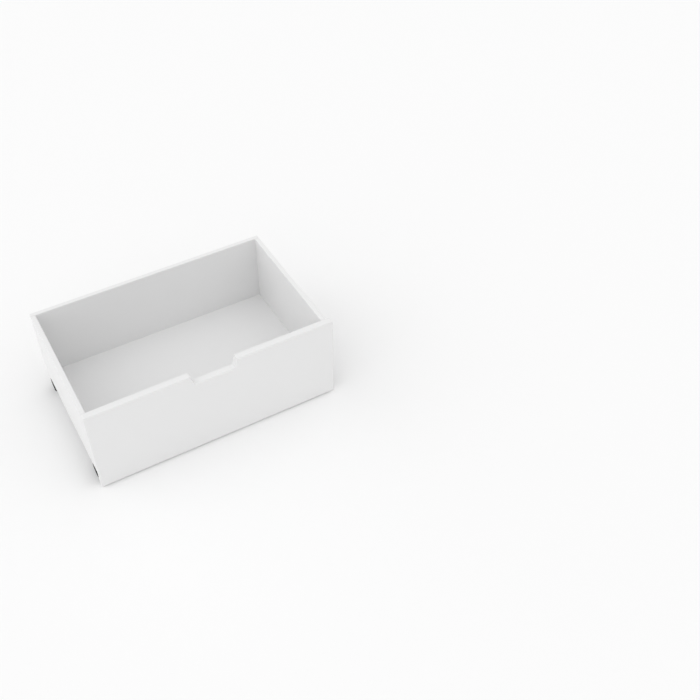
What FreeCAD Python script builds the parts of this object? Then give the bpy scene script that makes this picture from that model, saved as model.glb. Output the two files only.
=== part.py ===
import FreeCAD, Part
import math
import os
from FreeCAD import Vector

# An under-bed storage drawer: an open box of painted boards on four castors,
# behind a front panel with a finger notch in its top edge.
# Millimetres, +Z up. The origin is on the floor, under the middle of the
# footprint. The front faces -Y, and +X is on the right seen from the front.

# Front panel
front_length = 800.0
front_height = 310.0
front_thickness = 22.0
floor_gap = 5.0
left_overhang = 0.0
right_overhang = 15.0
corner_radius = 4.0

# Finger notch in the top edge of the front panel
notch_top_length = 150.0
notch_floor_length = 130.0
notch_depth = 35.0
notch_lip_radius = 2.5
notch_floor_radius = 3.5

# Box
overall_depth = 500.0
side_thickness = 15.0
back_thickness = 15.0
base_thickness = 12.0
castor_height = 54.0
edge_bevel = 1.5

# Tongue of the base panel, let into a stopped groove in the front panel
tongue_depth = 6.0
groove_clearance = 0.1

# Castor wheel, moulded, cored and spoked on its outer side
wheel_diameter = 50.0
wheel_width = 15.0
wheel_inset = 1.6
castor_setback = 34.0
tread_bevel = 1.5
rim_thickness = 4.5
core_depth = 9.0
hub_radius = 8.5
hub_step = 3.2
spoke_count = 6
spoke_thickness = 2.2
spoke_step = 3.0

# Shouldered rivet that the wheel turns on
pivot_radius = 4.0
bore_clearance = 0.05
end_float = 0.2
rivet_head_radius = 6.4
rivet_head_height = 1.8
tenon_radius = 3.0
rivet_tail_radius = 4.8
rivet_tail_height = 1.4

# Castor angle, pressed from sheet, with a stiffening dart in its bend
sheet_thickness = 2.0
bend_inner_radius = 1.5
plate_length = 62.0
plate_width = 30.0
plate_corner_bevel = 4.0
flange_root_length = 50.0
flange_shoulder = 5.0
flange_end_radius = 11.0
dart_leg = 10.0
dart_width = 8.0
plate_screw_spacing = 44.0
plate_screw_edge = 11.0

# Pan-head screws of the castors
castor_screw_radius = 2.0
castor_screw_length = 12.0
pan_head_radius = 4.0
pan_head_height = 2.4

# Countersunk screws through the back and up through the base
back_screw_radius = 2.25
back_screw_length = 45.0
base_screw_radius = 2.0
base_screw_length = 35.0
countersink_ratio = 2.0
screw_clearance = 0.05
back_screw_count = 2
back_screw_margin = 50.0
base_screw_count = 2
back_edge_screw_count = 2
base_screw_margin = 48.0

# Cam fittings and dowels between the sides and the front panel
cam_radius = 7.5
cam_depth = 12.0
cam_clearance = 0.1
cam_setback = 24.0
cam_margin = 57.0
cam_slot_width = 1.8
cam_slot_depth = 2.0
cam_pocket_width = 7.2
cam_neck_width = 5.4
bolt_radius = 2.5
bolt_head_radius = 3.4
bolt_head_length = 4.0
bolt_thread_length = 11.0
bolt_hole_radius = 4.0
dowel_radius = 4.0
dowel_length = 30.0
dowel_in_front = 12.0
dowel_clearance = 0.05
dowel_end_room = 1.0

# Planes of the assembly
top = floor_gap + front_height
front_face = -overall_depth / 2
front_rear = front_face + front_thickness
back_rear = overall_depth / 2
back_inner = back_rear - back_thickness
left_outer = -front_length / 2 + left_overhang
right_outer = front_length / 2 - right_overhang
left_inner = left_outer + side_thickness
right_inner = right_outer - side_thickness
base_under = castor_height
base_top = base_under + base_thickness

# Middle planes of the boards that take screws and dowels
left_middle = left_outer + side_thickness / 2
right_middle = right_outer - side_thickness / 2
back_middle = back_rear - back_thickness / 2

# Castor planes, measured inwards from the outer face of a side
wheel_radius = wheel_diameter / 2
wheel_inner = wheel_inset + wheel_width
hub_face = wheel_inset + hub_step
flange_outer = wheel_inner + end_float
flange_inner = flange_outer + sheet_thickness
plate_edge = flange_outer + plate_width
plate_under = base_under - sheet_thickness

# Points nearer than this count as one place
same_place = 0.01

X = Vector(1, 0, 0)
Y = Vector(0, 1, 0)
Z = Vector(0, 0, 1)


def save(name, shape):
    """Write one node; a group of equal pieces is a compound of solids."""
    shape.exportStep("parts/" + name + ".step")


def box(low, high):
    size = high - low
    return Part.makeBox(size.x, size.y, size.z, low)


def spaced(start, end, count):
    """Places from start to end, both included, at equal steps."""
    step = (end - start) / (count - 1)
    return [start + step * number for number in range(count)]


def prism(points, direction):
    """The solid swept by a flat polygon."""
    return Part.Face(Part.makePolygon(points + [points[0]])).extrude(direction)


def turned(outline, origin, axis):
    """A solid of revolution from (distance along the axis, radius) points."""
    side = X if abs(axis.z) > 0.5 else Z
    points = [origin + axis * along + side * radius for along, radius in outline]
    return Part.Face(Part.makePolygon(points + [points[0]])).revolve(origin, axis, 360)


def rim(shape, direction, height):
    """Edges that lie in the plane at a height along a direction."""
    found = []
    for edge in shape.Edges:
        heights = [point.dot(direction) for point in edge.discretize(3)]
        if all(abs(place - height) < same_place for place in heights):
            found.append(edge)
    return found


def crossing_edges(shape, direction, places):
    """Edges along a direction that pass through one of the places."""
    found = []
    for edge in shape.Edges:
        first = edge.Vertexes[0].Point
        along = edge.Vertexes[-1].Point - first
        if along.Length < same_place or along.cross(direction).Length > same_place:
            continue
        if any((first - place).cross(direction).Length < same_place for place in places):
            found.append(edge)
    return found


# Where the fasteners go


def cam_places():
    """(inner face, direction into the board, height) of each cam fitting."""
    heights = (base_top + cam_margin, top - cam_margin)
    faces = ((left_inner, -X), (right_inner, X))
    return [(face, inward, height) for face, inward in faces for height in heights]


def dowel_places():
    """A dowel half way between the two cams of each side."""
    height = (base_top + top) / 2
    return [Vector(middle, front_rear, height) for middle in (left_middle, right_middle)]


def back_screw_places():
    heights = spaced(base_top + back_screw_margin, top - back_screw_margin, back_screw_count)
    return [Vector(middle, back_rear, height) for middle in (left_middle, right_middle) for height in heights]


def base_screw_places():
    """Screws up into each side, between the castors, and up into the back."""
    first = front_rear + castor_setback + base_screw_margin
    last = back_rear - castor_setback - base_screw_margin
    along = spaced(first, last, base_screw_count)
    across = spaced(left_inner + base_screw_margin, right_inner - base_screw_margin, back_edge_screw_count)
    places = [Vector(middle, y, base_under) for middle in (left_middle, right_middle) for y in along]
    return places + [Vector(x, back_middle, base_under) for x in across]


def castor_places():
    """(name ending, outer face of its side, inward sign, y) of each castor."""
    places = []
    for side, outer, inward in (("left", left_outer, 1), ("right", right_outer, -1)):
        places.append(("front_" + side, outer, inward, front_rear + castor_setback))
        places.append(("rear_" + side, outer, inward, back_rear - castor_setback))
    return places


def plate_screw_places():
    """Where the screws seat under a castor's plate, in the castor's frame."""
    across = plate_edge - plate_screw_edge
    return [Vector(across, sign * plate_screw_spacing / 2, plate_under) for sign in (-1, 1)]


def castor_screw_places():
    places = []
    for ending, outer, inward, y in castor_places():
        for spot in plate_screw_places():
            places.append(Vector(outer + inward * spot.x, y + spot.y, spot.z))
    return places


# Holes and screws


def countersunk(radius, length):
    """Outline of a screw whose flat head lies flush at its origin."""
    head = radius * countersink_ratio
    return [(0, 0), (0, head), (head - radius, radius), (length, radius), (length, 0)]


def countersunk_hole(place, axis, radius, length):
    """The screw's own seat, and clearance round its shank."""
    seat = turned(countersunk(radius, length), place, axis)
    return seat.fuse(Part.makeCylinder(radius + screw_clearance, length, place, axis))


def drill_back_screws(board):
    for place in back_screw_places():
        board = board.cut(countersunk_hole(place, -Y, back_screw_radius, back_screw_length))
    return board


def drill_base_screws(board):
    for place in base_screw_places():
        board = board.cut(countersunk_hole(place, Z, base_screw_radius, base_screw_length))
    return board


# Boards


def front_outline():
    """Corners of the front panel in its front face, with the finger notch."""
    half = front_length / 2
    mouth = notch_top_length / 2
    floor = notch_floor_length / 2
    corners = [
        (-half, floor_gap),
        (half, floor_gap),
        (half, top),
        (mouth, top),
        (floor, top - notch_depth),
        (-floor, top - notch_depth),
        (-mouth, top),
        (-half, top),
    ]
    return [Vector(x, front_face, z) for x, z in corners]


def front_panel():
    corners = front_outline()
    panel = prism(corners, Y * front_thickness)
    lips = [corners[3], corners[6]]
    floor_corners = [corners[4], corners[5]]
    outer_corners = [corners[0], corners[1], corners[2], corners[7]]
    panel = panel.makeFillet(notch_lip_radius, crossing_edges(panel, Y, lips))
    panel = panel.makeFillet(notch_floor_radius, crossing_edges(panel, Y, floor_corners))
    panel = panel.makeFillet(corner_radius, crossing_edges(panel, Y, outer_corners))
    panel = panel.makeChamfer(edge_bevel, rim(panel, Y, front_face) + rim(panel, Y, front_rear))
    groove_low = Vector(left_inner, front_rear - tongue_depth, base_under - groove_clearance)
    groove_high = Vector(right_inner, front_rear + edge_bevel, base_top + groove_clearance)
    panel = panel.cut(box(groove_low, groove_high))
    for face, inward, height in cam_places():
        mouth = Vector(face, front_rear, height) + inward * (side_thickness / 2)
        panel = panel.cut(Part.makeCylinder(bolt_radius, bolt_thread_length, mouth, -Y))
    for place in dowel_places():
        panel = panel.cut(Part.makeCylinder(dowel_radius + dowel_clearance, dowel_in_front, place, -Y))
    return panel


def rear_corners():
    """The outer upright edges at the back, as a place on each."""
    return [Vector(left_outer, back_rear, 0), Vector(right_outer, back_rear, 0)]


def side_panel(outer, inner):
    """One side, standing on the base between the front and back panels."""
    low, high = sorted((outer, inner))
    panel = box(Vector(low, front_rear, base_top), Vector(high, back_inner, top))
    panel = panel.makeChamfer(edge_bevel, rim(panel, Z, top))
    for face, inward, height in cam_places():
        housing = Vector(face, front_rear + cam_setback, height)
        panel = panel.cut(Part.makeCylinder(cam_radius + cam_clearance, cam_depth, housing, inward))
        mouth = Vector(face, front_rear, height) + inward * (side_thickness / 2)
        panel = panel.cut(Part.makeCylinder(bolt_hole_radius, cam_setback, mouth, Y))
    depth = dowel_length - dowel_in_front + dowel_end_room
    for place in dowel_places():
        panel = panel.cut(Part.makeCylinder(dowel_radius + dowel_clearance, depth, place, Y))
    return drill_base_screws(drill_back_screws(panel))


def back_panel():
    """The back, standing on the base and covering the ends of the sides."""
    panel = box(Vector(left_outer, back_inner, base_top), Vector(right_outer, back_rear, top))
    eased = rim(panel, Z, top) + crossing_edges(panel, Z, rear_corners())
    panel = panel.makeChamfer(edge_bevel, eased)
    return drill_base_screws(drill_back_screws(panel))


def base_panel():
    """The base, under the sides and back, with its tongue in the front panel."""
    tongue = front_rear - tongue_depth
    tongue_left = left_inner + groove_clearance
    tongue_right = right_inner - groove_clearance
    corners = [
        (left_outer, front_rear),
        (tongue_left, front_rear),
        (tongue_left, tongue),
        (tongue_right, tongue),
        (tongue_right, front_rear),
        (right_outer, front_rear),
        (right_outer, back_rear),
        (left_outer, back_rear),
    ]
    panel = prism([Vector(x, y, base_under) for x, y in corners], Z * base_thickness)
    eased = rim(panel, Z, base_under) + crossing_edges(panel, Z, rear_corners())
    panel = panel.makeChamfer(edge_bevel, eased)
    depth = castor_screw_length - sheet_thickness
    for place in castor_screw_places():
        mouth = Vector(place.x, place.y, base_under)
        panel = panel.cut(Part.makeCylinder(castor_screw_radius + screw_clearance, depth, mouth, Z))
    return drill_base_screws(panel)


# Castors. In a castor's own frame x runs inwards from the side's outer face,
# y from the wheel's axis, and z is the height above the floor.


def seated(shape, outer, inward, y):
    """Move a castor piece to its place, mirrored for a right-hand side."""
    if inward < 0:
        shape = shape.mirror(Vector(), X)
    shape.translate(Vector(outer, y, 0))
    return shape


def castor_wheel():
    """A moulded wheel: bevelled tread, cored outer side, hub and spokes."""
    axle = Vector(0, 0, wheel_radius)
    rim = wheel_radius - rim_thickness
    web = wheel_inset + core_depth
    bore = pivot_radius + bore_clearance
    outline = [
        (wheel_inset, rim),
        (wheel_inset, wheel_radius - tread_bevel),
        (wheel_inset + tread_bevel, wheel_radius),
        (wheel_inner - tread_bevel, wheel_radius),
        (wheel_inner, wheel_radius - tread_bevel),
        (wheel_inner, bore),
        (hub_face, bore),
        (hub_face, hub_radius),
        (web, hub_radius),
        (web, rim),
    ]
    wheel = turned(outline, axle, X)
    overlap = min(rim_thickness, hub_radius - bore) / 2
    low = Vector(wheel_inset + spoke_step, -spoke_thickness / 2, wheel_radius + hub_radius - overlap)
    high = Vector(web + overlap, spoke_thickness / 2, wheel_radius + rim + overlap)
    for number in range(spoke_count):
        spoke = box(low, high)
        spoke.rotate(axle, X, 360 * number / spoke_count)
        wheel = wheel.fuse(spoke)
    return wheel.removeSplitter()


def castor_rivet():
    """A shouldered rivet: head on the hub, tail peened behind the flange."""
    head_seat = hub_face - end_float
    outline = [
        (head_seat - rivet_head_height, 0),
        (head_seat - rivet_head_height, rivet_head_radius * 0.7),
        (head_seat, rivet_head_radius),
        (head_seat, pivot_radius),
        (flange_outer, pivot_radius),
        (flange_outer, tenon_radius),
        (flange_inner, tenon_radius),
        (flange_inner, rivet_tail_radius),
        (flange_inner + rivet_tail_height, rivet_tail_radius * 0.6),
        (flange_inner + rivet_tail_height, 0),
    ]
    return turned(outline, Vector(0, 0, wheel_radius), X)


def bent_sheet():
    """The angle's sheet, bent along Y, before its flange is cut to shape."""
    lowest = wheel_radius - flange_end_radius
    bend = bend_inner_radius + sheet_thickness
    centre = Vector(flange_outer + bend, -plate_length / 2, base_under - bend)
    outward = Vector(-math.sqrt(0.5), 0, math.sqrt(0.5))

    def spot(x, z):
        return Vector(x, centre.y, z)

    outer_bend = Part.Arc(
        spot(flange_outer, centre.z), centre + outward * bend, spot(centre.x, base_under)
    )
    inner_bend = Part.Arc(
        spot(centre.x, plate_under), centre + outward * bend_inner_radius, spot(flange_inner, centre.z)
    )
    plate = [spot(centre.x, base_under), spot(plate_edge, base_under)]
    plate += [spot(plate_edge, plate_under), spot(centre.x, plate_under)]
    flange = [spot(flange_inner, centre.z), spot(flange_inner, lowest)]
    flange += [spot(flange_outer, lowest), spot(flange_outer, centre.z)]
    edges = [outer_bend.toShape()]
    edges += [Part.makeLine(first, second) for first, second in zip(plate, plate[1:])]
    edges += [inner_bend.toShape()]
    edges += [Part.makeLine(first, second) for first, second in zip(flange, flange[1:])]
    sheet = Part.Face(Part.Wire(edges)).extrude(Y * plate_length)
    half = plate_length / 2
    corners = [Vector(plate_edge, -half, 0), Vector(plate_edge, half, 0)]
    return sheet.makeChamfer(plate_corner_bevel, crossing_edges(sheet, Z, corners))


def flange_window():
    """What the sheet keeps, seen along X: the flange narrows to a round end."""
    root = flange_root_length / 2
    half = plate_length / 2
    shoulder = base_under - flange_shoulder
    rise = shoulder - wheel_radius
    reach = math.hypot(root, rise)
    tangent = math.atan2(rise, root) - math.acos(flange_end_radius / reach)
    touch_y = flange_end_radius * math.cos(tangent)
    touch_z = wheel_radius + flange_end_radius * math.sin(tangent)

    def spot(y, z):
        return Vector(flange_outer, y, z)

    right = [spot(touch_y, touch_z), spot(root, shoulder), spot(half, shoulder), spot(half, base_under)]
    left = [spot(-half, base_under), spot(-half, shoulder), spot(-root, shoulder), spot(-touch_y, touch_z)]
    points = right + left
    edges = [Part.makeLine(first, second) for first, second in zip(points, points[1:])]
    end = Part.Arc(points[-1], spot(0, wheel_radius - flange_end_radius), points[0])
    return Part.Face(Part.Wire(edges + [end.toShape()])).extrude(X * plate_width)


def dart(corner, leg, width):
    """A triangular wedge that fills the corner under the bend."""
    start = corner - Y * (width / 2)
    return prism([start, start + X * leg, start - Z * leg], Y * width)


def castor_bracket():
    """A pressed angle: plate under the base, flange behind the wheel."""
    angle = bent_sheet().common(flange_window())
    raised = dart(Vector(flange_inner, 0, plate_under), dart_leg, dart_width)
    hollow_leg = dart_leg + sheet_thickness * (2 - math.sqrt(2))
    hollow_width = dart_width - 2 * sheet_thickness
    hollow = dart(Vector(flange_outer, 0, base_under), hollow_leg, hollow_width)
    angle = angle.fuse(raised).cut(hollow)
    pivot = Vector(flange_outer, 0, wheel_radius)
    angle = angle.cut(Part.makeCylinder(tenon_radius, sheet_thickness, pivot, X))
    for spot in plate_screw_places():
        hole = Part.makeCylinder(castor_screw_radius + screw_clearance, sheet_thickness, spot, Z)
        angle = angle.cut(hole)
    return angle.removeSplitter()


# Fasteners


def castor_screws():
    """Pan-head screws up through the castor plates into the base."""
    outline = [
        (-pan_head_height, 0),
        (-pan_head_height, pan_head_radius * 0.7),
        (0, pan_head_radius),
        (0, castor_screw_radius),
        (castor_screw_length, castor_screw_radius),
        (castor_screw_length, 0),
    ]
    return Part.makeCompound([turned(outline, place, Z) for place in castor_screw_places()])


def back_screws():
    outline = countersunk(back_screw_radius, back_screw_length)
    return Part.makeCompound([turned(outline, place, -Y) for place in back_screw_places()])


def base_screws():
    outline = countersunk(base_screw_radius, base_screw_length)
    return Part.makeCompound([turned(outline, place, Z) for place in base_screw_places()])


def cam_lock(face, inward, height):
    """A cam housing, flush with the side's inner face, round the bolt's head."""
    centre = Vector(face, front_rear + cam_setback, height)
    body = Part.makeCylinder(cam_radius, cam_depth, centre, inward)
    axle = centre + inward * (side_thickness / 2)
    pocket = Vector(1, 1, 1) * (cam_pocket_width / 2)
    body = body.cut(box(axle - pocket, axle + pocket))
    half_neck = cam_neck_width / 2
    neck_low = axle + Vector(-half_neck, -cam_radius, -half_neck)
    body = body.cut(box(neck_low, axle + Vector(half_neck, 0, half_neck)))
    half_slot = Vector(cam_slot_depth, cam_radius * 2, cam_slot_width / 2)
    return body.cut(box(centre - half_slot, centre + half_slot))


def cam_bolt(face, inward, height):
    """A connecting bolt: thread in the front panel, head held by the cam."""
    origin = Vector(face, front_rear, height) + inward * (side_thickness / 2)
    head_start = cam_setback - cam_pocket_width / 2
    head_end = head_start + bolt_head_length
    outline = [
        (-bolt_thread_length, 0),
        (-bolt_thread_length, bolt_radius),
        (head_start, bolt_radius),
        (head_start, bolt_head_radius),
        (head_end, bolt_head_radius),
        (head_end, 0),
    ]
    return turned(outline, origin, Y)


def dowel(place):
    """A round wooden pin, partly in the front panel and partly in a side."""
    return Part.makeCylinder(dowel_radius, dowel_length, place - Y * dowel_in_front, Y)


def main():
    os.makedirs("parts", exist_ok=True)
    save("front_panel", front_panel())
    save("left_side_panel", side_panel(left_outer, left_inner))
    save("right_side_panel", side_panel(right_outer, right_inner))
    save("back_panel", back_panel())
    save("base_panel", base_panel())
    rivets = []
    for ending, outer, inward, y in castor_places():
        save("castor_bracket_" + ending, seated(castor_bracket(), outer, inward, y))
        save("castor_wheel_" + ending, seated(castor_wheel(), outer, inward, y))
        rivets.append(seated(castor_rivet(), outer, inward, y))
    save("castor_rivets", Part.makeCompound(rivets))
    save("castor_screws", castor_screws())
    save("back_screws", back_screws())
    save("base_screws", base_screws())
    save("cam_locks", Part.makeCompound([cam_lock(*place) for place in cam_places()]))
    save("cam_bolts", Part.makeCompound([cam_bolt(*place) for place in cam_places()]))
    save("front_dowels", Part.makeCompound([dowel(place) for place in dowel_places()]))


main()
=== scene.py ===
"""The looks of an under-bed storage drawer: white painted boards on four small castors.

Everything is in metres, in the frame of the CAD model: +Z up, -Y out of the front, origin on the floor.
The small turned and moulded pieces are drawn in millimetres and scaled as they are placed.
"""
import math

import bmesh
import bpy
from mathutils import Matrix, Vector


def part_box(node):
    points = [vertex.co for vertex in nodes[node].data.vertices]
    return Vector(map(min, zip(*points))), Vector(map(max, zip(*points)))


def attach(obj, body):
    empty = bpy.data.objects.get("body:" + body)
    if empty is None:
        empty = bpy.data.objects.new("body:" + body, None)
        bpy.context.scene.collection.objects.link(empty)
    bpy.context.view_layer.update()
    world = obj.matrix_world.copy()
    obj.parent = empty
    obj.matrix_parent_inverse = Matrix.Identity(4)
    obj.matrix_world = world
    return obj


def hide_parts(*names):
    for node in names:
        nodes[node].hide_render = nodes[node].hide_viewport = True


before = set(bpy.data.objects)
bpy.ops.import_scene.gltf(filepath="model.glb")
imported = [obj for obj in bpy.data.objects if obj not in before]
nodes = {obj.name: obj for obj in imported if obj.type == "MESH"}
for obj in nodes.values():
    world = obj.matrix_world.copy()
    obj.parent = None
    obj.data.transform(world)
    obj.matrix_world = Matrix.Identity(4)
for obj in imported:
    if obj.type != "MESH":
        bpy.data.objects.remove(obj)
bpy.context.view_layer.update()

MM = 0.001

# The photograph's view, solved from the drawer's measured edges
CAMERA_PLACE = (-0.6441, -2.1642, 2.3695)
CAMERA_TILT = 45.0
CAMERA_TURN = -30.0
CAMERA_LENS = 50.0
CAMERA_SENSOR = 36.0

# Light from the whole sky in broad lobes: the direction that each comes from, and its strength
SKY = (
    ((0.0, 0.0, 1.0), 0.67),
    ((-1.0, 0.0, 0.0), 1.24),
    ((1.0, 0.0, 0.0), 0.18),
    ((0.0, 1.0, 0.0), 0.26),
    ((0.61, -0.61, 0.5), 0.62),
)

# Linear colours; the backdrop is as bright as the lit floor
PAINT = (0.80, 0.80, 0.80)
FLOOR = (0.92, 0.92, 0.92)
BACKDROP = 0.97
BLACK_PLASTIC = (0.013, 0.013, 0.014)
ROLLED_PLASTIC = (0.030, 0.029, 0.028)
ZINC = (0.62, 0.63, 0.65)
SCREW_ZINC = (0.66, 0.66, 0.64)
CAST_ZINC = (0.42, 0.42, 0.43)
BEECH = (0.55, 0.36, 0.19)
PLASTIC_SPECULAR = 0.12

# The range that most of a noise texture's values lie in
NOISE_LOW = 0.3
NOISE_HIGH = 0.7

# Radii of the edges that are rounded in shading alone
BOARD_ROUNDING = 1.1 * MM
BRACKET_ROUNDING = 0.5 * MM
CASTING_ROUNDING = 0.25 * MM

CASTORS = ("front_left", "front_right", "rear_left", "rear_right")
BOARDS = ("front_panel", "left_side_panel", "right_side_panel", "back_panel", "base_panel")
FLOOR_WIDTH = 60.0

# Fineness of the turned pieces
FILLET_STEPS = 5
LATHE_SEGMENTS = 48
WHEEL_SEGMENTS = 160
SHARP_ANGLE = 35.0
SAME_PLACE = 1e-5

# Wheel, in millimetres: x runs inwards from its outer face
WHEEL_RADIUS = 25.0
WHEEL_WIDTH = 15.0
TREAD_ROUNDING = 1.8
RUBBED_RADIUS = 24.2
RIM_INNER = 20.5
RIM_DRAFT = 0.3
CORE_DEPTH = 9.0
CORE_FILLET = 1.0
HUB_RADIUS = 8.5
HUB_STEP = 3.2
HUB_DRAFT = 0.2
MOUTH_ROUNDING = 0.5
BORE = 4.05
SEAM_HEIGHT = 0.12
SEAM_WIDTH = 0.5

# Spokes: each sinks a little into the web, the hub and the rim
SPOKES = 6
SPOKE_STEP = 3.0
SPOKE_THICKNESS = 2.2
SPOKE_ROOT = 3.0
SPOKE_SINK = 1.0
CREST_ROUNDING = 0.5
CREST_MIDDLE = 0.15

# Rivet, in millimetres along the wheel's axis from the wheel's outer face
RIVET_HEAD_TOP = 1.2
RIVET_HEAD_SEAT = 3.0
RIVET_HEAD_RADIUS = 6.4
RIVET_HEAD_EDGE = 0.6
RIVET_EDGE_ROUNDING = 0.5
RIVET_CROWN_RADIUS = 2.88
RIVET_CROWN_DROP = 0.1
RIVET_CROWN_ROUNDING = 3.0
RIVET_SHOULDER = 15.2
RIVET_SHANK = 4.0
RIVET_TENON = 3.0
RIVET_TAIL_SEAT = 17.2
RIVET_TAIL_END = 18.6
RIVET_TAIL_RADIUS = 4.8
RIVET_TAIL_EDGE = 0.5
RIVET_TAIL_EDGE_ROUNDING = 0.4
RIVET_TAIL_FLAT_RADIUS = 2.88
RIVET_TAIL_ROUNDING = 0.8

# Cross recesses of the screws: they narrow as they go down, their arms' width less than their reach
RECESS_TAPER = 0.7
RECESS_ABOVE = 1.0
RECESS_STEADY_WIDTH = 0.4
TIP_ROUNDING = 0.5

# Pan-head screws of the castors, in millimetres from the head's seat
PAN_HEIGHT = 2.4
PAN_RADIUS = 4.0
PAN_SHOULDER = 1.3
PAN_SHOULDER_ROUNDING = 1.2
PAN_EDGE_ROUNDING = 0.15
PAN_CROWN_RADIUS = 2.2
PAN_CROWN_DROP = 0.1
PAN_CROWN_ROUNDING = 3.0
PAN_SHANK = 2.0
PAN_LENGTH = 12.0
PAN_TIP = 2.0
PAN_RECESS_WIDTH = 0.9
PAN_RECESS_DEPTH = 1.5

# Countersunk screws of the back and the base, in millimetres from the head's face
BACK_SCREW_SHANK = 2.25
BACK_SCREW_LENGTH = 45.0
BASE_SCREW_SHANK = 2.0
BASE_SCREW_LENGTH = 35.0
HEAD_TO_SHANK = 2
HEAD_CLEARANCE = 0.1
HEAD_EDGE = 0.2
HEAD_EDGE_ROUNDING = 0.1
NECK_ROUNDING = 0.6
SCREW_TIP = 3.0
RECESS_REACH = 0.6
RECESS_WIDTH = 0.24
RECESS_DEPTH = 0.4

# Screws' places, in millimetres
PLATE_SCREW_EDGE = 11.0
PLATE_SCREW_SPACING = 44.0
BRACKET_SHEET = 2.0
BACK_SCREW_MARGIN = 50.0
BASE_SCREW_SETBACK = 82.0
BASE_SCREW_MARGIN = 48.0


# Materials


class Shader:
    """A node material with a Principled surface, built a node at a time."""

    def __init__(self, name, colour, roughness, metallic=0.0):
        self.material = bpy.data.materials.new(name)
        self.material.use_nodes = True
        self.tree = self.material.node_tree
        self.surface = self.tree.nodes["Principled BSDF"]
        self.surface.inputs["Base Color"].default_value = (*colour, 1.0)
        self.surface.inputs["Roughness"].default_value = roughness
        self.surface.inputs["Metallic"].default_value = metallic
        self.place = self.tree.nodes.new("ShaderNodeTexCoord").outputs["Object"]

    def link(self, source, target):
        self.tree.links.new(source, target)

    def stretch(self, scale):
        """Object coordinates, scaled apart along the three axes."""
        mapping = self.tree.nodes.new("ShaderNodeMapping")
        mapping.inputs["Scale"].default_value = scale
        self.link(self.place, mapping.inputs["Vector"])
        return mapping.outputs["Vector"]

    def axle_distance(self):
        """Distance from the local X axis."""
        length = self.tree.nodes.new("ShaderNodeVectorMath")
        length.operation = "LENGTH"
        self.link(self.stretch((0.0, 1.0, 1.0)), length.inputs[0])
        return length.outputs["Value"]

    def noise(self, scale, detail=2.0, coordinates=None):
        noise = self.tree.nodes.new("ShaderNodeTexNoise")
        noise.inputs["Scale"].default_value = scale
        noise.inputs["Detail"].default_value = detail
        self.link(coordinates or self.place, noise.inputs["Vector"])
        return noise.outputs["Fac"]

    def ramp(self, value, low, high, out_low=0.0, out_high=1.0):
        """A value moved from one range to another, and held within it."""
        ranged = self.tree.nodes.new("ShaderNodeMapRange")
        ranged.inputs["From Min"].default_value = low
        ranged.inputs["From Max"].default_value = high
        ranged.inputs["To Min"].default_value = out_low
        ranged.inputs["To Max"].default_value = out_high
        self.link(value, ranged.inputs["Value"])
        return ranged.outputs["Result"]

    def product(self, first, second):
        times = self.tree.nodes.new("ShaderNodeMath")
        times.operation = "MULTIPLY"
        self.link(first, times.inputs[0])
        self.link(second, times.inputs[1])
        return times.outputs["Value"]

    def tint(self, factor, first, second):
        """Mix two colours over the surface."""
        mix = self.tree.nodes.new("ShaderNodeMix")
        mix.data_type = "RGBA"
        mix.inputs["A"].default_value = (*first, 1.0)
        mix.inputs["B"].default_value = (*second, 1.0)
        self.link(factor, mix.inputs["Factor"])
        self.link(mix.outputs["Result"], self.surface.inputs["Base Color"])

    def vary_roughness(self, value, low, high):
        self.link(self.ramp(value, NOISE_LOW, NOISE_HIGH, low, high), self.surface.inputs["Roughness"])

    def bump(self, heights, distance, strength, rounding=0.0):
        """Relief from a height value, over edges rounded by the shader."""
        bump = self.tree.nodes.new("ShaderNodeBump")
        bump.inputs["Distance"].default_value = distance
        bump.inputs["Strength"].default_value = strength
        self.link(heights, bump.inputs["Height"])
        if rounding:
            bevel = self.tree.nodes.new("ShaderNodeBevel")
            bevel.samples = 6
            bevel.inputs["Radius"].default_value = rounding
            self.link(bevel.outputs["Normal"], bump.inputs["Normal"])
        self.link(bump.outputs["Normal"], self.surface.inputs["Normal"])


def shade(colour, factor):
    return tuple(channel * factor for channel in colour)


def painted_board():
    """Satin paint, sprayed: a faint orange peel and slow changes of tone and sheen."""
    shader = Shader("white_paint", PAINT, roughness=0.42)
    shader.tint(shader.noise(scale=5.0, detail=3.0), shade(PAINT, 0.99), shade(PAINT, 1.01))
    shader.vary_roughness(shader.noise(scale=9.0, detail=4.0), low=0.38, high=0.47)
    shader.bump(shader.noise(scale=520.0), distance=0.06 * MM, strength=0.35, rounding=BOARD_ROUNDING)
    return shader.material


def moulded_plastic():
    """Black nylon with the fine grain of its mould, rubbed greyer on the tread."""
    shader = Shader("black_plastic", BLACK_PLASTIC, roughness=0.7)
    shader.surface.inputs["Specular IOR Level"].default_value = PLASTIC_SPECULAR
    tread = shader.ramp(shader.axle_distance(), low=RUBBED_RADIUS * MM, high=WHEEL_RADIUS * MM)
    patches = shader.ramp(shader.noise(scale=260.0, detail=5.0), low=0.35, high=0.6)
    shader.tint(shader.product(tread, patches), BLACK_PLASTIC, ROLLED_PLASTIC)
    shader.vary_roughness(shader.noise(scale=140.0, detail=3.0), low=0.6, high=0.8)
    shader.bump(shader.noise(scale=2600.0), distance=0.03 * MM, strength=0.5)
    return shader.material


def zinc_plate(name, colour, low, high, rounding=0.0):
    """Plated steel: drawn along one way, with faint clouds in the plating."""
    shader = Shader(name, colour, roughness=0.35, metallic=1.0)
    drawn = shader.noise(scale=1.0, detail=3.0, coordinates=shader.stretch((60.0, 60.0, 1400.0)))
    shader.tint(shader.noise(scale=70.0, detail=3.0), shade(colour, 0.9), shade(colour, 1.08))
    shader.vary_roughness(drawn, low, high)
    shader.bump(drawn, distance=0.02 * MM, strength=0.4, rounding=rounding)
    return shader.material


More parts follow.
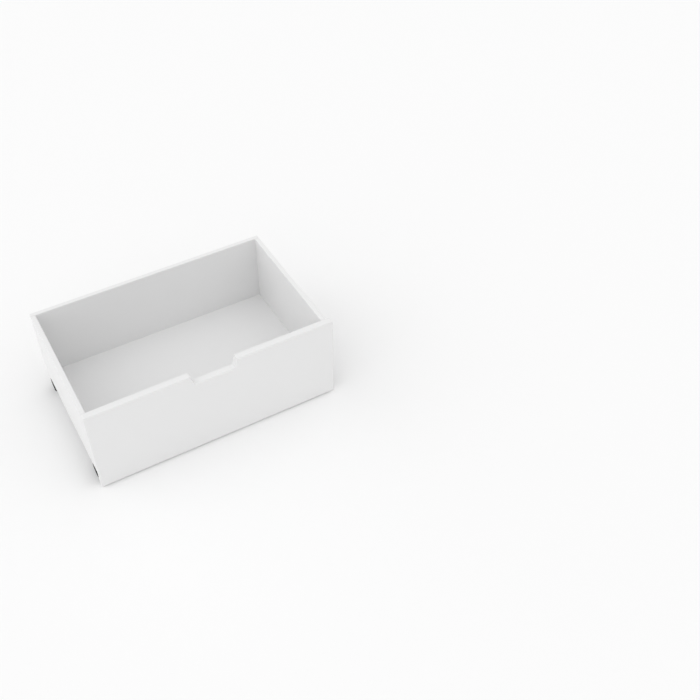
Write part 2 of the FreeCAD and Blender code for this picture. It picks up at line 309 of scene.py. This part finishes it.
def cast_zinc():
    """Zinc as it comes out of its mould, dull and grainy."""
    shader = Shader("cast_zinc", CAST_ZINC, roughness=0.5, metallic=1.0)
    grain = shader.noise(scale=900.0, detail=4.0)
    shader.tint(grain, shade(CAST_ZINC, 0.85), shade(CAST_ZINC, 1.1))
    shader.vary_roughness(grain, low=0.42, high=0.6)
    shader.bump(grain, distance=0.05 * MM, strength=0.5, rounding=CASTING_ROUNDING)
    return shader.material


def beech():
    """Bare beech, its grain along the dowels."""
    shader = Shader("beech_dowel", BEECH, roughness=0.6)
    grain = shader.noise(scale=1.0, detail=5.0, coordinates=shader.stretch((900.0, 30.0, 900.0)))
    shader.tint(grain, shade(BEECH, 0.8), shade(BEECH, 1.15))
    shader.bump(grain, distance=0.05 * MM, strength=0.5)
    return shader.material


def dress(node, material):
    """Give a CAD node one material in place of its own."""
    slots = nodes[node].data.materials
    slots.clear()
    slots.append(material)


def dress_frame(plastic, rivet_metal, screw_metal):
    """Finish every CAD node, also those that a finer piece replaces."""
    paint = painted_board()
    for board in BOARDS:
        dress(board, paint)
    bracket = zinc_plate("zinc_plate", ZINC, low=0.26, high=0.44, rounding=BRACKET_ROUNDING)
    for castor in CASTORS:
        dress("castor_bracket_" + castor, bracket)
        dress("castor_wheel_" + castor, plastic)
    dress("castor_rivets", rivet_metal)
    for group in ("castor_screws", "back_screws", "base_screws", "cam_bolts"):
        dress(group, screw_metal)
    dress("cam_locks", cast_zinc())
    dress("front_dowels", beech())


# Shapes


def filleted(corners):
    """A closed outline from (x, y, rounding) corners, each rounded by its own radius."""
    outline = []
    for index, (x, y, radius) in enumerate(corners):
        here = Vector((x, y))
        if not radius:
            outline.append(here)
            continue
        before = (Vector(corners[index - 1][:2]) - here).normalized()
        after = (Vector(corners[(index + 1) % len(corners)][:2]) - here).normalized()
        half = before.angle(after) / 2
        centre = here + (before + after).normalized() * (radius / math.sin(half))
        first = here + before * (radius / math.tan(half)) - centre
        last = here + after * (radius / math.tan(half)) - centre
        for step in range(FILLET_STEPS + 1):
            outline.append(centre + radius * first.slerp(last, step / FILLET_STEPS))
    return outline


def lathe(outline, segments=LATHE_SEGMENTS):
    """A closed outline of (along, radius) points, turned about the X axis."""
    shape = bmesh.new()
    rings = []
    for number in range(segments):
        angle = 2 * math.pi * number / segments
        ring = [(along, radius * math.sin(angle), radius * math.cos(angle)) for along, radius in outline]
        rings.append([shape.verts.new(place) for place in ring])
    for number, ring in enumerate(rings):
        following = rings[(number + 1) % segments]
        for index in range(len(outline)):
            if outline[index - 1][1] > 0 or outline[index][1] > 0:
                shape.faces.new((ring[index - 1], ring[index], following[index], following[index - 1]))
    bmesh.ops.remove_doubles(shape, verts=shape.verts, dist=SAME_PLACE)
    bmesh.ops.recalc_face_normals(shape, faces=shape.faces)
    return shape


def loft(first, last):
    """A closed solid between two rings of equally many points."""
    shape = bmesh.new()
    lower = [shape.verts.new(place) for place in first]
    upper = [shape.verts.new(place) for place in last]
    for index in range(len(lower)):
        shape.faces.new((lower[index - 1], lower[index], upper[index], upper[index - 1]))
    shape.faces.new(lower)
    shape.faces.new(upper)
    bmesh.ops.recalc_face_normals(shape, faces=shape.faces)
    return shape


def mesh_of(shape, name):
    """Turn a shape into a mesh, and free the shape."""
    mesh = bpy.data.meshes.new(name)
    shape.to_mesh(mesh)
    shape.free()
    return mesh


def cut(shape, punch):
    """The first shape less the second, by a boolean that is applied here."""
    body = bpy.data.objects.new("cut_body", mesh_of(shape, "cut_body"))
    tool = bpy.data.objects.new("cut_tool", mesh_of(punch, "cut_tool"))
    for item in (body, tool):
        bpy.context.scene.collection.objects.link(item)
    boolean = body.modifiers.new("cut", "BOOLEAN")
    boolean.operation = "DIFFERENCE"
    boolean.solver = "EXACT"
    boolean.object = tool
    ready = body.evaluated_get(bpy.context.evaluated_depsgraph_get())
    result = bmesh.new()
    result.from_mesh(bpy.data.meshes.new_from_object(ready))
    for item in (body, tool):
        bpy.data.objects.remove(item)
    return result


def gathered(shape, places, name):
    """One mesh with a copy of the shape, drawn in millimetres, at each of the places."""
    single = mesh_of(shape, name)
    group = bmesh.new()
    for place in places:
        copy = bmesh.new()
        copy.from_mesh(single)
        copy.transform(place @ Matrix.Scale(MM, 4))
        placed = mesh_of(copy, name)
        group.from_mesh(placed)
        bpy.data.meshes.remove(placed)
    bpy.data.meshes.remove(single)
    return mesh_of(group, name)


def add_piece(name, mesh, material, body, node, origin=Matrix()):
    """Put a finished mesh in the scene, riding on a body in place of a CAD node."""
    for polygon in mesh.polygons:
        polygon.use_smooth = True
    mesh.set_sharp_from_angle(angle=math.radians(SHARP_ANGLE))
    mesh.materials.append(material)
    piece = bpy.data.objects.new(name, mesh)
    piece.matrix_world = origin
    bpy.context.scene.collection.objects.link(piece)
    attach(piece, body)
    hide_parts(node)
    return piece


# Castors


def wheel_frame(castor):
    """Where a wheel's outer face meets its axis, with local X running inwards."""
    low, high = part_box("castor_wheel_" + castor)
    centre = (low + high) / 2
    if castor.endswith("left"):
        return Matrix.Translation((low.x, centre.y, centre.z))
    return Matrix.Translation((high.x, centre.y, centre.z)) @ Matrix.Rotation(math.pi, 4, "Z")


def wheel_disc():
    """Tread with a moulding seam, cored outer side, hub and web."""
    middle = WHEEL_WIDTH / 2
    tread = WHEEL_RADIUS - SEAM_HEIGHT
    corners = [
        (0.0, RIM_INNER + RIM_DRAFT, MOUTH_ROUNDING),
        (0.0, tread, TREAD_ROUNDING),
        (middle - SEAM_WIDTH, tread, 0.0),
        (middle - SEAM_WIDTH / 4, WHEEL_RADIUS, 0.0),
        (middle + SEAM_WIDTH / 4, WHEEL_RADIUS, 0.0),
        (middle + SEAM_WIDTH, tread, 0.0),
        (WHEEL_WIDTH, tread, TREAD_ROUNDING),
        (WHEEL_WIDTH, BORE, 0.0),
        (HUB_STEP, BORE, 0.0),
        (HUB_STEP, HUB_RADIUS - HUB_DRAFT, MOUTH_ROUNDING),
        (CORE_DEPTH, HUB_RADIUS + HUB_DRAFT, CORE_FILLET),
        (CORE_DEPTH, RIM_INNER, CORE_FILLET),
    ]
    return lathe(filleted(corners), WHEEL_SEGMENTS)


def spoke(angle):
    """A rib from the hub to the rim, thicker at its root, with a rounded crest."""
    crest = SPOKE_THICKNESS / 2
    half = [
        (CORE_DEPTH + SPOKE_SINK, SPOKE_ROOT / 2),
        (SPOKE_STEP + CREST_ROUNDING, crest),
        (SPOKE_STEP + CREST_MIDDLE, crest - CREST_MIDDLE),
        (SPOKE_STEP, crest - CREST_ROUNDING),
    ]
    section = [(x, -y) for x, y in half] + half[::-1]
    inner = [(x, y, HUB_RADIUS - SPOKE_SINK) for x, y in section]
    outer = [(x, y, RIM_INNER + SPOKE_SINK) for x, y in section]
    rib = loft(inner, outer)
    rib.transform(Matrix.Rotation(angle, 4, "X"))
    return rib


def wheel_mesh(name):
    """A whole wheel in metres: its disc and its spokes."""
    whole = wheel_disc()
    for number in range(SPOKES):
        rib = mesh_of(spoke(2 * math.pi * number / SPOKES), name)
        whole.from_mesh(rib)
        bpy.data.meshes.remove(rib)
    whole.transform(Matrix.Scale(MM, 4))
    return mesh_of(whole, name)


def add_wheels(plastic):
    """Moulded wheels, each turning on its own body."""
    for castor in CASTORS:
        name = "moulded_wheel_" + castor
        node = "castor_wheel_" + castor
        body = "wheel_" + castor
        add_piece(name, wheel_mesh(name), plastic, body, node, wheel_frame(castor))


def add_rivets(metal):
    """Domed rivets, one through each hub, with a peened tail behind the flange."""
    corners = [
        (RIVET_HEAD_TOP, 0.0, 0.0),
        (RIVET_HEAD_TOP + RIVET_CROWN_DROP, RIVET_CROWN_RADIUS, RIVET_CROWN_ROUNDING),
        (RIVET_HEAD_SEAT - RIVET_HEAD_EDGE, RIVET_HEAD_RADIUS, RIVET_EDGE_ROUNDING),
        (RIVET_HEAD_SEAT, RIVET_HEAD_RADIUS, 0.0),
        (RIVET_HEAD_SEAT, RIVET_SHANK, 0.0),
        (RIVET_SHOULDER, RIVET_SHANK, 0.0),
        (RIVET_SHOULDER, RIVET_TENON, 0.0),
        (RIVET_TAIL_SEAT, RIVET_TENON, 0.0),
        (RIVET_TAIL_SEAT, RIVET_TAIL_RADIUS, 0.0),
        (RIVET_TAIL_SEAT + RIVET_TAIL_EDGE, RIVET_TAIL_RADIUS, RIVET_TAIL_EDGE_ROUNDING),
        (RIVET_TAIL_END, RIVET_TAIL_FLAT_RADIUS, RIVET_TAIL_ROUNDING),
        (RIVET_TAIL_END, 0.0, 0.0),
    ]
    places = [wheel_frame(castor) for castor in CASTORS]
    mesh = gathered(lathe(filleted(corners)), places, "domed_rivets")
    add_piece("domed_rivets", mesh, metal, "drawer", "castor_rivets")


# Screws: drawn with the head's top at x = 0 or above, and the shank along +X


def cross_punch(top, reach, width, depth):
    """The cross recess of a screw's head, narrowing as it goes down."""

    def cross(along, scale):
        arm = reach * scale
        half = width * (RECESS_STEADY_WIDTH + (1 - RECESS_STEADY_WIDTH) * scale) / 2
        points = [(arm, half), (half, half), (half, arm), (-half, arm), (-half, half), (-arm, half)]
        points += [(-x, -y) for x, y in points]
        return [(along, y, z) for y, z in points]

    over = cross(top - RECESS_ABOVE, 1 + RECESS_TAPER * RECESS_ABOVE / depth)
    return loft(over, cross(top + depth, 1 - RECESS_TAPER))


def pan_head_screw():
    """A screw with a low domed head and a cross recess."""
    corners = [
        (-PAN_HEIGHT, 0.0, 0.0),
        (-PAN_HEIGHT + PAN_CROWN_DROP, PAN_CROWN_RADIUS, PAN_CROWN_ROUNDING),
        (-PAN_SHOULDER, PAN_RADIUS, PAN_SHOULDER_ROUNDING),
        (0.0, PAN_RADIUS, PAN_EDGE_ROUNDING),
        (0.0, PAN_SHANK, 0.0),
        (PAN_LENGTH - PAN_TIP, PAN_SHANK, TIP_ROUNDING),
        (PAN_LENGTH, 0.0, 0.0),
    ]
    recess = cross_punch(-PAN_HEIGHT, PAN_CROWN_RADIUS, PAN_RECESS_WIDTH, PAN_RECESS_DEPTH)
    return cut(lathe(filleted(corners)), recess)


def countersunk_screw(shank, length):
    """A flat-headed screw with a cross recess, by its shank's radius and its whole length."""
    head = shank * HEAD_TO_SHANK
    face = head - HEAD_CLEARANCE
    corners = [
        (0.0, 0.0, 0.0),
        (0.0, face, HEAD_EDGE_ROUNDING),
        (HEAD_EDGE, face, 0.0),
        (head - shank, shank, NECK_ROUNDING),
        (length - SCREW_TIP, shank, TIP_ROUNDING),
        (length, 0.0, 0.0),
    ]
    recess = cross_punch(0.0, head * RECESS_REACH, head * RECESS_WIDTH, head * RECESS_DEPTH)
    return cut(lathe(filleted(corners)), recess)


def pointing(direction):
    """A turn that lays local X along a direction."""
    return Vector((1.0, 0.0, 0.0)).rotation_difference(Vector(direction)).to_matrix().to_4x4()


def at(x, y, z, direction):
    """A place in metres, with local X along a direction."""
    return Matrix.Translation((x, y, z)) @ pointing(direction)


def add_castor_screws(metal):
    """Pan-head screws up through each bracket's plate, one on either side of its wheel."""
    places = []
    for castor in CASTORS:
        low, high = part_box("castor_bracket_" + castor)
        x = high.x - PLATE_SCREW_EDGE * MM
        if castor.endswith("right"):
            x = low.x + PLATE_SCREW_EDGE * MM
        for side in (-1, 1):
            y = (low.y + high.y) / 2 + side * PLATE_SCREW_SPACING * MM / 2
            places.append(at(x, y, high.z - BRACKET_SHEET * MM, (0.0, 0.0, 1.0)))
    mesh = gathered(pan_head_screw(), places, "cross_pan_screws")
    add_piece("cross_pan_screws", mesh, metal, "drawer", "castor_screws")


def add_back_screws(metal):
    """Countersunk screws through the back into the ends of the sides."""
    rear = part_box("back_panel")[1].y
    places = []
    for side in ("left_side_panel", "right_side_panel"):
        low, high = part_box(side)
        for z in (low.z + BACK_SCREW_MARGIN * MM, high.z - BACK_SCREW_MARGIN * MM):
            places.append(at((low.x + high.x) / 2, rear, z, (0.0, -1.0, 0.0)))
    mesh = gathered(countersunk_screw(BACK_SCREW_SHANK, BACK_SCREW_LENGTH), places, "cross_back_screws")
    add_piece("cross_back_screws", mesh, metal, "drawer", "back_screws")


def add_base_screws(metal):
    """Countersunk screws up through the base into the sides and the back."""
    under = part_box("base_panel")[0].z
    back_low, back_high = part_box("back_panel")
    left_low, left_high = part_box("left_side_panel")
    right_low, right_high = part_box("right_side_panel")
    rows = (left_low.y + BASE_SCREW_SETBACK * MM, back_high.y - BASE_SCREW_SETBACK * MM)
    spots = [((left_low.x + left_high.x) / 2, y) for y in rows]
    spots += [((right_low.x + right_high.x) / 2, y) for y in rows]
    edges = (left_high.x + BASE_SCREW_MARGIN * MM, right_low.x - BASE_SCREW_MARGIN * MM)
    spots += [(x, (back_low.y + back_high.y) / 2) for x in edges]
    places = [at(x, y, under, (0.0, 0.0, 1.0)) for x, y in spots]
    mesh = gathered(countersunk_screw(BASE_SCREW_SHANK, BASE_SCREW_LENGTH), places, "cross_base_screws")
    add_piece("cross_base_screws", mesh, metal, "drawer", "base_screws")


# Stage


def studio_floor():
    """A pale floor, wide enough to fill every view."""
    bpy.ops.mesh.primitive_plane_add(size=FLOOR_WIDTH, location=(0.0, 0.0, 0.0))
    floor = bpy.context.object
    floor.name = "studio_floor"
    shader = Shader("studio_floor", FLOOR, roughness=0.9)
    shader.surface.inputs["Specular IOR Level"].default_value = 0.0
    floor.data.materials.append(shader.material)


def studio_light():
    """Soft light from the whole sky, with a plain backdrop where the camera or a reflection sees it."""
    world = bpy.data.worlds.new("studio")
    bpy.context.scene.world = world
    world.use_nodes = True
    tree = world.node_tree

    def operate(kind, first, second):
        node = tree.nodes.new("ShaderNodeMath")
        node.operation = kind
        for socket, value in zip(node.inputs, (first, second)):
            if isinstance(value, float):
                socket.default_value = value
            else:
                tree.links.new(value, socket)
        return node.outputs["Value"]

    direction = tree.nodes.new("ShaderNodeTexCoord").outputs["Generated"]
    strength = 0.0
    for side, power in SKY:
        towards = tree.nodes.new("ShaderNodeVectorMath")
        towards.operation = "DOT_PRODUCT"
        towards.inputs[1].default_value = side
        tree.links.new(direction, towards.inputs[0])
        share = operate("MULTIPLY", operate("MAXIMUM", towards.outputs["Value"], 0.0), power)
        strength = operate("ADD", share, strength)
    rays = tree.nodes.new("ShaderNodeLightPath").outputs
    seen = operate("MAXIMUM", rays["Is Camera Ray"], rays["Is Glossy Ray"])
    kept = operate("SUBTRACT", 1.0, seen)
    total = operate("ADD", operate("MULTIPLY", strength, kept), operate("MULTIPLY", seen, BACKDROP))
    background = tree.nodes["Background"]
    background.inputs["Color"].default_value = (1.0, 1.0, 1.0, 1.0)
    tree.links.new(total, background.inputs["Strength"])


def photo_camera():
    data = bpy.data.cameras.new("photo_camera")
    data.lens = CAMERA_LENS
    data.sensor_width = CAMERA_SENSOR
    camera = bpy.data.objects.new("photo_camera", data)
    bpy.context.scene.collection.objects.link(camera)
    camera.location = CAMERA_PLACE
    camera.rotation_euler = (math.radians(CAMERA_TILT), 0.0, math.radians(CAMERA_TURN))
    bpy.context.scene.camera = camera


black_plastic = moulded_plastic()
rivet_steel = zinc_plate("rivet_steel", ZINC, low=0.22, high=0.36)
screw_steel = zinc_plate("screw_steel", SCREW_ZINC, low=0.22, high=0.36)
dress_frame(black_plastic, rivet_steel, screw_steel)
add_wheels(black_plastic)
add_rivets(rivet_steel)
add_castor_screws(screw_steel)
add_back_screws(screw_steel)
add_base_screws(screw_steel)
studio_floor()
studio_light()
photo_camera()
bpy.context.scene.view_settings.view_transform = "Standard"
